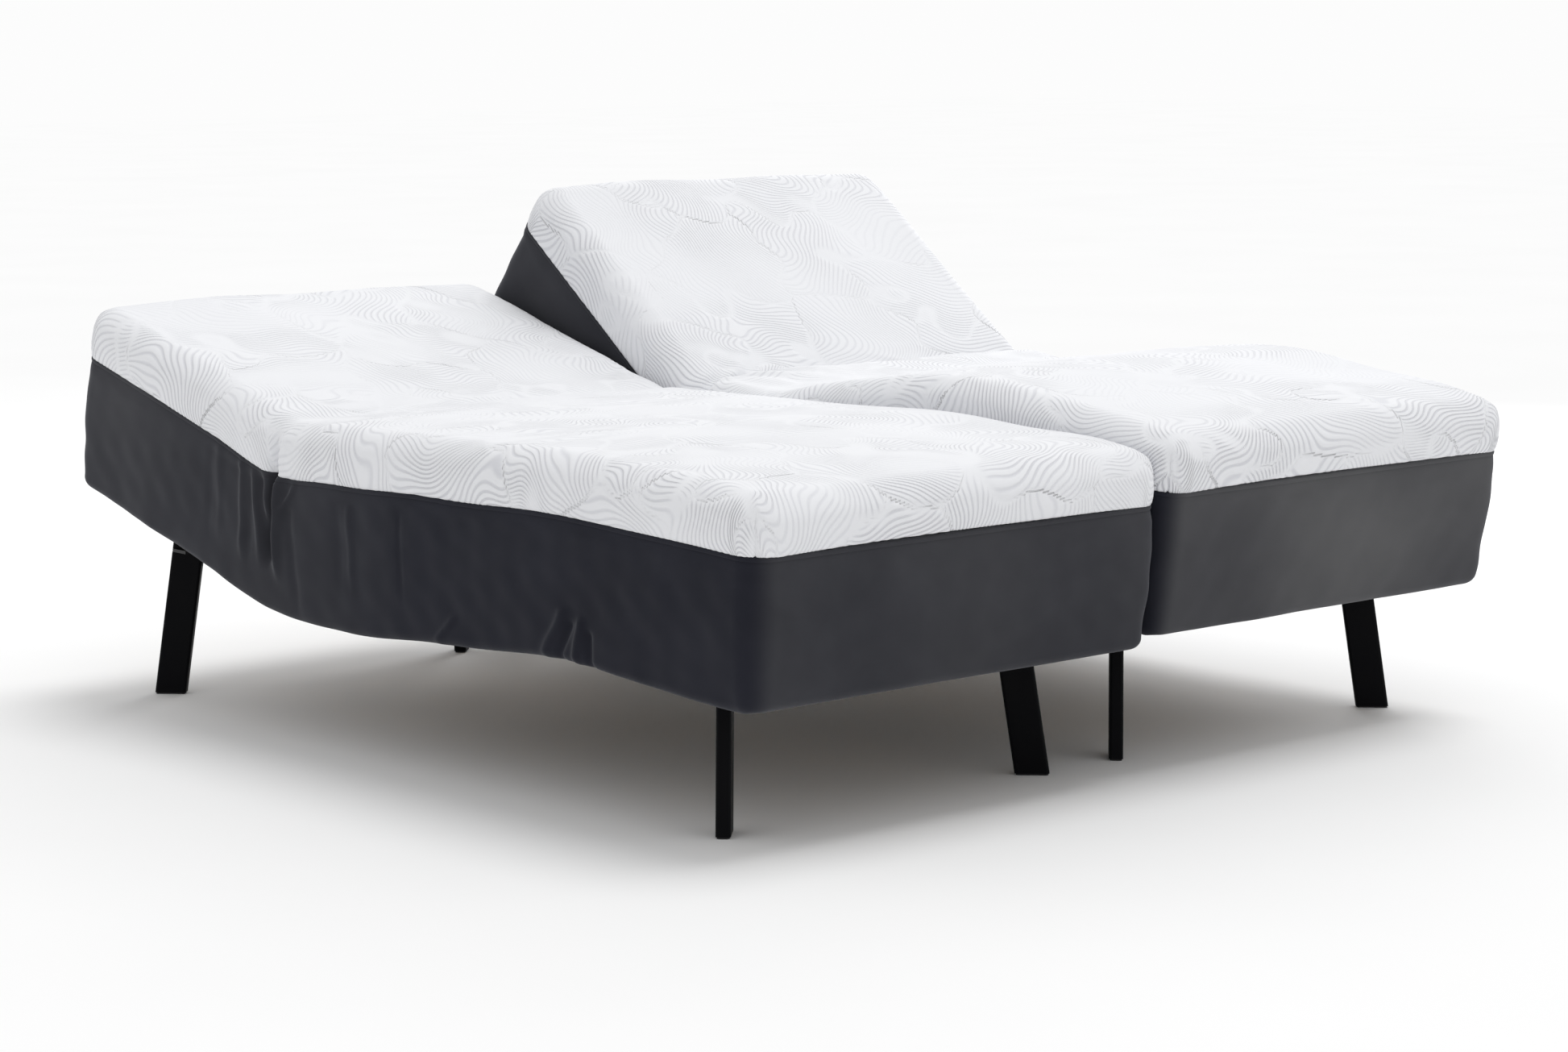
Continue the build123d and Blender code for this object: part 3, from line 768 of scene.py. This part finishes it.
def make_cover(bed, seed):
    p, fields = raise_cover(bed, seed)
    normals = grid_normals(p)
    v = fields["cloth"][:, 0, 1]
    thigh_row, seat_row = (int(np.argmin(np.abs(v - cut))) for cut in (THIGH_CUT, SEAT_CUT))
    parts = {
        "back": (slice(seat_row, None), ["back_cushion", "seat_cushion"]),
        "thigh": (slice(thigh_row, seat_row + 1), ["thigh_cushion"]),
        "foot": (slice(0, thigh_row + 1), ["foot_cushion"]),
    }
    for zone, (rows, nodes) in parts.items():
        own = {name: field[rows] for name, field in fields.items()}
        obj = grid_mesh(f"{bed['side']}_cover_{zone}", p[rows], normals[rows], own, WHITE)
        tie(obj, bed, nodes)


make_cover(BEDS["left"], 11)
make_cover(BEDS["right"], 47)

# %% [markdown]
# ## The border
# The border is a strip of velour sewn to the cover along the seam. It has a narrow folded band at its
# top, a stitched line under the band, and a hem turned under the frame. It hangs a little full, so it
# swells by 4 mm between seam and hem. The strip's section is written down from top to bottom as offsets
# from the border's face, and is then carried round the bed, as a piping or skirting board would be.


# %% Border profile
def border_profile():
    """Offset outward from the border's face, and height, from the seam to the inner edge of the hem."""
    band = [(-0.012, 0.4900), (-0.004, 0.4902), (-0.0004, 0.4890), (0.0010, 0.4868), (0.0010, 0.4835)]
    stitch = [(0.0004, 0.4816), (-0.0012, 0.4806), (-0.0002, 0.4790), (0.0002, 0.4760)]
    heights = np.arange(0.4715, HEM_Z + 0.0235, -CELL * 1.15)
    face = [(0.0004 + 0.0042 * math.sin(math.pi * (0.476 - h) / 0.222) ** 0.8, h) for h in heights]
    hem_r = 0.022
    turns = np.radians(np.linspace(0, 90, 10))[1:]
    hem = [(0.0004 - hem_r * (1 - math.cos(a)), HEM_Z + hem_r * (1 - math.sin(a))) for a in turns]
    under = [(0.0004 - hem_r - d, HEM_Z + 0.06 * d) for d in (0.006, 0.013, 0.021, 0.030, 0.040)]
    return np.array(band + stitch + face + hem + under)


BORDER_PROFILE = border_profile()
print("points down the border", len(BORDER_PROFILE))

# %% [markdown]
# The border folds at the hip, where the bed bends inward and the cloth has nowhere to go, and puckers at
# the hem below the knee. A fold is a line on the side face, from a point near the seam to a point near
# the hem, with a height and a width. Positive folds stand out and negative ones sink in. They are placed
# one by one: one deep fold at the seam, small ones fanning out beside it, and shallow pulls further away.

# %% Folds of the border
FOLDS = {
    # (y and z at the top), (y and z at the bottom), height, width, all in metres on the flat bed
    "left": [
        ((1.322, 0.487), (1.334, 0.350), -0.0240, 0.0120),
        ((1.372, 0.478), (1.344, 0.345), -0.0090, 0.0150),
        ((1.400, 0.482), (1.362, 0.340), 0.0050, 0.0110),
        ((1.298, 0.487), (1.302, 0.330), 0.0110, 0.0120),
        ((1.250, 0.482), (1.285, 0.420), 0.0045, 0.0080),
        ((1.262, 0.440), (1.245, 0.270), -0.0030, 0.0120),
        ((1.440, 0.484), (1.418, 0.330), 0.0050, 0.0100),
        ((1.405, 0.484), (1.400, 0.320), -0.0035, 0.0140),
        ((1.520, 0.484), (1.500, 0.340), 0.0026, 0.0120),
        ((1.545, 0.470), (1.535, 0.330), -0.0020, 0.0120),
        ((1.075, 0.460), (1.070, 0.330), 0.0028, 0.0100),
        ((1.110, 0.460), (1.105, 0.330), -0.0018, 0.0140),
        ((0.920, 0.455), (0.922, 0.320), -0.0016, 0.0070),
        ((0.470, 0.330), (0.525, 0.232), 0.0060, 0.0130),
        ((0.455, 0.310), (0.490, 0.232), -0.0070, 0.0100),
        ((0.425, 0.320), (0.445, 0.232), 0.0065, 0.0110),
        ((0.405, 0.300), (0.410, 0.232), -0.0060, 0.0090),
        ((0.780, 0.290), (0.830, 0.232), 0.0035, 0.0120),
    ],
    "right": [
        ((1.300, 0.487), (1.312, 0.260), -0.0150, 0.0160),
        ((1.270, 0.487), (1.262, 0.270), 0.0080, 0.0100),
        ((1.335, 0.487), (1.350, 0.280), 0.0070, 0.0120),
        ((1.220, 0.480), (1.245, 0.380), 0.0040, 0.0110),
        ((1.400, 0.484), (1.395, 0.320), 0.0030, 0.0140),
        ((0.520, 0.330), (0.560, 0.232), 0.0060, 0.0130),
        ((0.490, 0.320), (0.505, 0.232), -0.0070, 0.0110),
        ((0.460, 0.320), (0.455, 0.232), 0.0060, 0.0120),
        ((0.900, 0.455), (0.905, 0.320), -0.0016, 0.0080),
    ],
}


def fold_lift(y, z, side):
    total = np.zeros_like(y)
    for (y0, z0), (y1, z1), height, width in FOLDS[side]:
        share = np.clip((z0 - z) / (z0 - z1), -0.2, 1.2)
        centre = y0 + (y1 - y0) * smooth(share)
        fade = smooth((z0 + 0.006 - z) / 0.020) * smooth((z - z1 + 0.045) / 0.070)
        total += height * fade * hump(y, centre, width)
    return total


# %% [markdown]
# The strip runs once round the bed: up one side, round the head end, back down the other side, and round
# the foot end. Straight runs and quarter turns are chained, each with its outward directions, because
# the offsets and the folds are measured along those. It starts and ends at the same point.


# %% Outline of the bed
def straight_run(x, y, way):
    spots = np.stack(np.broadcast_arrays(x, y), axis=1)
    return spots, np.tile(np.array(way, float), (len(spots), 1))


def quarter_turn(x, y, radius, angles):
    ways = np.stack([np.cos(angles), np.sin(angles)], axis=1)
    return np.array([x, y]) + radius * ways, ways


def outline(bed, step):
    """Points round the border, their outward directions, and the distance run."""
    half, radius = bed["half"] - OVERHANG, PLAN_R - OVERHANG
    low, high = OVERHANG, LENGTH - OVERHANG
    steps = max(4, int(radius * math.pi / 2 / step))
    arc = np.radians(np.linspace(0, 90, steps + 1))[1:-1]
    ys = spaced(low + radius, high - radius, step)
    xs = np.linspace(-half + radius, half - radius, int(2 * half / step))
    runs = [
        straight_run(half, ys, (1, 0)),
        quarter_turn(half - radius, high - radius, radius, arc),
        straight_run(xs[::-1], high, (0, 1)),
        quarter_turn(-half + radius, high - radius, radius, arc + math.pi / 2),
        straight_run(-half, ys[::-1], (-1, 0)),
        quarter_turn(-half + radius, low + radius, radius, arc + math.pi),
        straight_run(xs, low, (0, -1)),
        quarter_turn(half - radius, low + radius, radius, arc + math.pi * 3 / 2),
    ]
    runs.append((runs[0][0][:1], runs[0][1][:1]))
    spots, ways = (np.concatenate(parts) for parts in zip(*runs))
    run = np.concatenate([[0], np.cumsum(np.hypot(*np.diff(spots, axis=0).T))])
    return spots, ways, run


# %% [markdown]
# The border's grid has one column for each point of the outline and one row for each point of the
# profile. The face is moved in and out by slow waves and the folds. The hem sags under the seat, where
# it carries the folds, and rises at the knee. The colour is painted lighter on the end faces, more on
# the right bed, and a little towards the head on the sides: a painted sheen, standing for brushed-up pile.

# %% Grid of the border
# Painted sheen on the end faces of each bed, stronger on the right bed.
END_SHEEN = {"left": 0.42, "right": 0.96}  # how far the pile of the end faces is brushed up


def hem_move(y):
    return -0.008 * hump(y, 1.10, 0.14) + 0.007 * hump(y, 0.50, 0.16) - 0.004 * hump(y, 0.10, 0.12)


def border_offset(bed, seed, offset, height, down, y, run, ways):
    """How far the border stands out from its face, with its waves and folds."""
    side = bed["side"]
    face = smooth((0.476 - height) / 0.02) * smooth((offset + 0.03) / 0.03)
    wave = 0.0016 * soft_noise(run, height, 0.22, seed)
    wave = wave + 0.0007 * soft_noise(run, height, 0.07, seed + 1)
    folds = fold_lift(y, height, side) + pinch(y, side) * smooth(1.25 - 2.2 * down)
    folds = folds * np.abs(ways[:, 0]) ** 4
    on_open_side = ways[:, 0] * outer(bed) > -0.5
    return offset + face * wave - 0.007 * smooth(down) + np.where(on_open_side, folds, np.minimum(folds, 0))


def painted_pile_sheen(side, seed, z, down, y, run, ways):
    """How much painted sheen a place takes, from 0 to 1, standing for pile that is brushed up."""
    ends = END_SHEEN[side] * np.abs(ways[:, 1]) ** 6 * (1 - 0.25 * down)
    sides = 0.30 * np.abs(ways[:, 0]) ** 4 * smooth((y - 0.85) / 0.5)
    return (ends + sides) * (0.85 + 0.15 * soft_noise(run, z, 0.5, seed + 3))


def border_grid(bed, seed, spots, ways, run):
    """The points of the border on the bed as it stands, and the fields that its shader reads."""
    profile_offset, profile_z = BORDER_PROFILE[:, :1], BORDER_PROFILE[:, 1:]
    offset, height, y, along = np.broadcast_arrays(profile_offset, profile_z, spots[:, 1], run)
    down = (SEAM_Z - height) / (SEAM_Z - HEM_Z)
    offset = border_offset(bed, seed, offset, height, down, y, along, ways)
    z = height + settle(y, bed["side"], 0) * (1 - down) + hem_move(y) * down * np.abs(ways[:, 0]) ** 4
    base_x, base_y = ease(spots[:, 0], spots[:, 1], bed, 0.005)
    x = keep_clear(base_x + ways[:, 0] * offset, bed)
    p = to_rest(np.stack([x, base_y + ways[:, 1] * offset, z], axis=2), bed)
    across = np.concatenate([[0], np.cumsum(np.hypot(*np.diff(BORDER_PROFILE, axis=0).T))])
    cloth = np.stack([along, np.broadcast_to(across[:, None], y.shape), np.zeros(y.shape)], axis=2)
    return p, {"cloth": cloth, "pile_sheen": painted_pile_sheen(bed["side"], seed, z, down, y, along, ways)}


# %% [markdown]
# The strip is cut across at the hinges, like the cover: one piece round the head end, two for the sides
# of the thigh part, and one round the foot end. Each stands for the CAD border of its section. The rows
# are turned over before the mesh is made, so that its faces look outward.


# %% Border of one bed
def column_at(spots, ways, way, cut):
    """The column where the side with this outward direction crosses a cut."""
    return int(np.flatnonzero((ways[:, 0] == way) & (spots[:, 1] == cut))[0])


def make_border(bed, seed):
    spots, ways, run = outline(bed, CELL * 1.15)
    p, fields = border_grid(bed, seed, spots, ways, run)
    normals = -grid_normals(p)
    thigh_near, seat_near = (column_at(spots, ways, 1, cut) for cut in (THIGH_CUT, SEAT_CUT))
    thigh_far, seat_far = (column_at(spots, ways, -1, cut) for cut in (THIGH_CUT, SEAT_CUT))
    around_foot = np.concatenate([np.arange(thigh_far, len(run) - 1), np.arange(0, thigh_near + 1)])
    parts = {
        "border_back": ("back", np.arange(seat_near, seat_far + 1), ["back_border", "seat_border"]),
        "border_thigh_near": ("thigh", np.arange(thigh_near, seat_near + 1), ["thigh_border"]),
        "border_thigh_far": ("thigh", np.arange(seat_far, thigh_far + 1), []),
        "border_foot": ("foot", around_foot, ["foot_border"]),
    }
    for name, (zone, columns, nodes) in parts.items():
        own = {key: field[:, columns][::-1] for key, field in fields.items()}
        full_name = f"{bed['side']}_{name}"
        obj = grid_mesh(full_name, p[:, columns][::-1], normals[:, columns][::-1], own, VELOUR)
        tie(obj, bed, nodes)


make_border(BEDS["left"], 101)
make_border(BEDS["right"], 131)

# %% [markdown]
# ## Floor
# The beds stand on a plain studio floor of matt white paint, far wider than the picture, so that no edge
# shows. It has no gloss at all: even a faint one would draw a bright line along the horizon. The paint's
# rolled coats differ by a hair in white, over most of a metre.


# %% Floor
def studio_paint():
    material, tree, shader = start_material("studio_floor_matt_white_paint")
    position = add(tree, "TexCoord").outputs["Object"]
    coats = add(
        tree,
        "TexNoise",
        values={"Scale": per_mm(800), "Detail": 3.0},
        links={"Vector": position},
    )
    tree.links.new(two_tones(tree, coats.outputs["Fac"], "#f7f7f7", "#fbfbfb"), shader.inputs["Base Color"])
    finish_surface(shader, Roughness=0.9, Specular_IOR_Level=0.0)
    return material


def make_floor(reach, z):
    mesh = bpy.data.meshes.new("studio_floor")
    corners = [(-reach, -reach, z), (reach, -reach, z), (reach, reach, z), (-reach, reach, z)]
    mesh.from_pydata(corners, [], [(0, 1, 2, 3)])
    mesh.materials.append(studio_paint())
    floor = bpy.data.objects.new("studio_floor", mesh)
    bpy.context.scene.collection.objects.link(floor)
    print("floor at", z)


make_floor(30.0, BOX_BEFORE[0][2])

# %% [markdown]
# ## Light
# The light is that of a white studio: from all round, with a large soft source overhead that darkens the
# floor under the beds, and a softbox on the right that shapes the folds a little. An area light is aimed
# at a point, which is easier to set than three angles. The overhead source is a sun with a wide angle,
# so that both beds get the same light.


# %% Lamps
def add_lamp(name, data, turn, spot=(0, 0, 0)):
    lamp = bpy.data.objects.new(name, data)
    lamp.location, lamp.rotation_euler = spot, turn
    bpy.context.scene.collection.objects.link(lamp)
    print(name, "power", data.energy)


def softbox(name, spot, aim_at, size, power):
    data = bpy.data.lights.new(name, "AREA")
    data.size, data.energy = size, power
    x, y, z = np.array(aim_at) - np.array(spot)
    add_lamp(name, data, (math.atan2(math.hypot(x, y), -z), 0, math.atan2(y, x) - math.pi / 2), spot)


def overhead(name, strength, spread, turn):
    data = bpy.data.lights.new(name, "SUN")
    data.energy, data.angle = strength, math.radians(spread)
    add_lamp(name, data, [math.radians(a) for a in turn])


softbox("side_softbox", (3.6, 2.2, 2.6), aim_at=(0.4, 0, 0.5), size=2.6, power=60)
overhead("soft_key", strength=1.00, spread=30, turn=(2, 16, 0))

# %% [markdown]
# The sky is one even white. It lights the beds with a strength of 0.72, but is seen by the camera itself
# at 0.975, which is how bright the floor comes out far away. So floor and background meet without a
# line, as on a paper roll.

# %% Studio sky
SKY_LIGHT, SKY_SEEN = 0.72, 0.975
world = bpy.data.worlds.new("studio_sky")
bpy.context.scene.world = world
world.use_nodes = True
sky = world.node_tree.nodes["Background"]
sky.inputs["Color"].default_value = (1, 1, 1, 1)
rays = add(world.node_tree, "LightPath")
seen = add(
    world.node_tree,
    "MapRange",
    values={"To Min": SKY_LIGHT, "To Max": SKY_SEEN},
    links={"Value": rays.outputs["Is Camera Ray"]},
)
world.node_tree.links.new(seen.outputs[0], sky.inputs["Strength"])
print("sky light", SKY_LIGHT, "seen", SKY_SEEN)

# %% [markdown]
# ## Camera
# The camera stands off the near foot corner, a little above the beds, with a long lens that keeps their
# edges nearly parallel. Its direction is given as the angle round the beds, the height angle and a tiny
# roll. A matrix made from these three is surer than a tracking constraint, which can't hold a roll.


# %% Camera
def camera_at(spot, azimuth, elevation, roll, lens):
    a, e, r = (math.radians(x) for x in (azimuth, elevation, roll))
    back = np.array([math.sin(a) * math.cos(e), -math.cos(a) * math.cos(e), math.sin(e)])
    right = np.cross(-back, [0, 0, 1])
    right /= np.linalg.norm(right)
    up = np.cross(right, -back)
    matrix = np.eye(4)
    matrix[:3, 0] = math.cos(r) * right + math.sin(r) * up
    matrix[:3, 1] = math.cos(r) * up - math.sin(r) * right
    matrix[:3, 2] = back
    matrix[:3, 3] = spot
    data = bpy.data.cameras.new("camera")
    data.lens, data.sensor_width, data.sensor_fit = lens, 36.0, "HORIZONTAL"
    data.clip_end = 100.0
    camera = bpy.data.objects.new("camera", data)
    camera.matrix_world = Matrix(matrix.tolist())
    bpy.context.scene.collection.objects.link(camera)
    bpy.context.scene.camera = camera
    print("camera at", spot, "lens", lens, "mm")


camera_at((-4.547, -5.231, 1.335), azimuth=-41.19, elevation=8.18, roll=-0.25, lens=84.75)
bpy.context.scene.view_settings.view_transform = "Standard"
